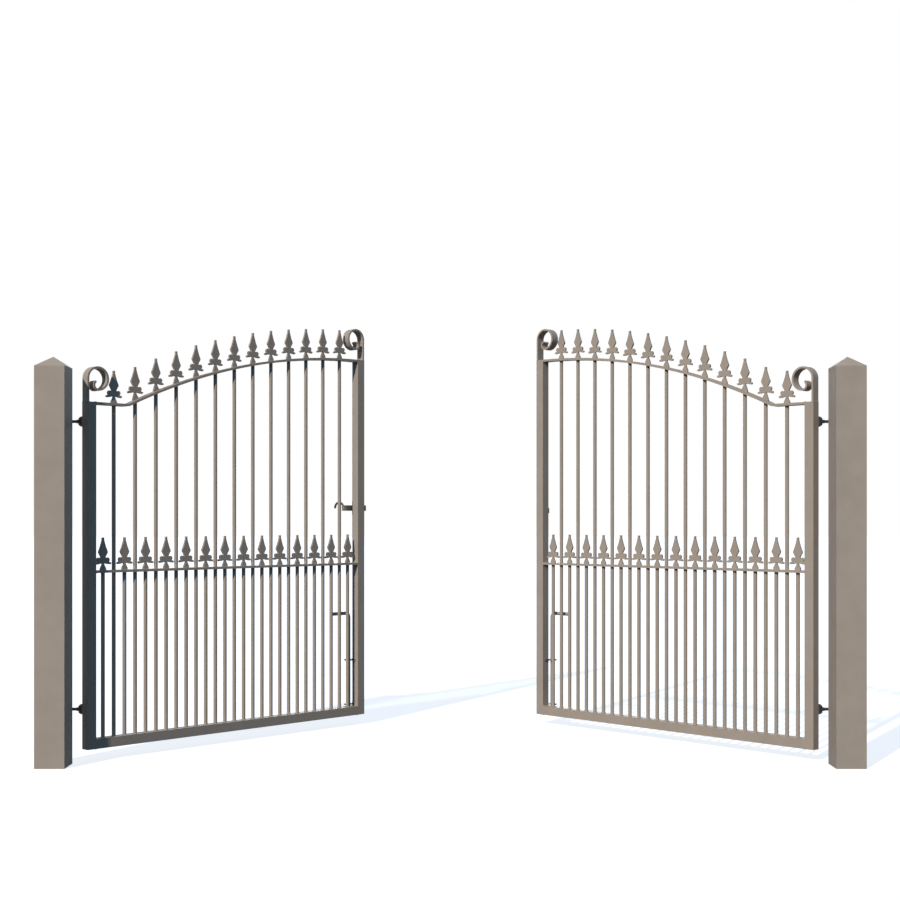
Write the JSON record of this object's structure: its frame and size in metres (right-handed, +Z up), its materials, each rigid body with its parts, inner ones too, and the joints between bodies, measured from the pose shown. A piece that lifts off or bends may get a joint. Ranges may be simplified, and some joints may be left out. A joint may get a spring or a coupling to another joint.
{
  "type": "metal driveway gate",
  "caption": "Pair of welded steel swing gates on square posts, with round bars, spearhead finials, a bowed top rail, scrolls, hinges, a slide latch and drop bolts.",
  "frame": {"origin": "centre of the left post's foot, on the ground", "axes": "+X along the opening to the right post, +Y away from the approach side, +Z up"},
  "size_m": [3.23, 1.2571, 1.8565],
  "materials": {
    "taupe_powder_coat": "satin taupe powder coat on steel",
    "black_ironwork": "satin black painted forged steel"
  },
  "bodies": {
    "posts": {"left_post": "taupe_powder_coat", "right_post": "taupe_powder_coat", "left_post_cap": "taupe_powder_coat", "right_post_cap": "taupe_powder_coat", "left_upper_hinge_eye": "black_ironwork", "left_lower_hinge_eye": "black_ironwork", "right_upper_hinge_eye": "black_ironwork", "right_lower_hinge_eye": "black_ironwork"},
    "left_leaf": {"left_hanging_stile": "taupe_powder_coat", "left_meeting_stile": "taupe_powder_coat", "left_bottom_rail": "taupe_powder_coat", "left_mid_rail": "taupe_powder_coat", "left_top_rail": "taupe_powder_coat", "left_long_bars": "taupe_powder_coat", "left_dog_bars": "taupe_powder_coat", "left_top_finials": "taupe_powder_coat", "left_dog_finials": "taupe_powder_coat", "left_hinge_scroll": "taupe_powder_coat", "left_meeting_scroll": "taupe_powder_coat", "left_upper_hinge_lugs": "black_ironwork", "left_lower_hinge_lugs": "black_ironwork", "left_upper_bolt_guide": "taupe_powder_coat", "left_lower_bolt_guide": "taupe_powder_coat", "latch_housing": "taupe_powder_coat"},
    "right_leaf": {"right_hanging_stile": "taupe_powder_coat", "right_meeting_stile": "taupe_powder_coat", "right_bottom_rail": "taupe_powder_coat", "right_mid_rail": "taupe_powder_coat", "right_top_rail": "taupe_powder_coat", "right_long_bars": "taupe_powder_coat", "right_dog_bars": "taupe_powder_coat", "right_top_finials": "taupe_powder_coat", "right_dog_finials": "taupe_powder_coat", "right_hinge_scroll": "taupe_powder_coat", "right_meeting_scroll": "taupe_powder_coat", "right_upper_hinge_lugs": "black_ironwork", "right_lower_hinge_lugs": "black_ironwork", "right_upper_bolt_guide": "taupe_powder_coat", "right_lower_bolt_guide": "taupe_powder_coat", "latch_keep": "taupe_powder_coat"},
    "left_drop_bolt": {"left_drop_bolt": "taupe_powder_coat"},
    "right_drop_bolt": {"right_drop_bolt": "taupe_powder_coat"},
    "latch_bolt": {"latch_bolt": "taupe_powder_coat"}
  },
  "joints": [
    {"name": "left_leaf_swing", "type": "hinge", "parent": "posts", "child": "left_leaf", "pos_m": [0.078, 0.1265, 0], "axis": [0, 0, 1], "range_deg": [-45, 45]},
    {"name": "right_leaf_swing", "type": "hinge", "parent": "posts", "child": "right_leaf", "pos_m": [3.034, 0.1265, 0], "axis": [0, 0, -1], "range_deg": [-45, 45]},
    {"name": "left_drop_bolt_slide", "type": "slide", "parent": "left_leaf", "child": "left_drop_bolt", "axis": [0, 0, 1], "range_m": [-0.09, 0]},
    {"name": "right_drop_bolt_slide", "type": "slide", "parent": "right_leaf", "child": "right_drop_bolt", "axis": [0, 0, 1], "range_m": [-0.09, 0]},
    {"name": "latch_slide", "type": "slide", "parent": "left_leaf", "child": "latch_bolt", "axis": [-0.7071, -0.7071, 0], "range_m": [0, 0.055]}
  ]
}
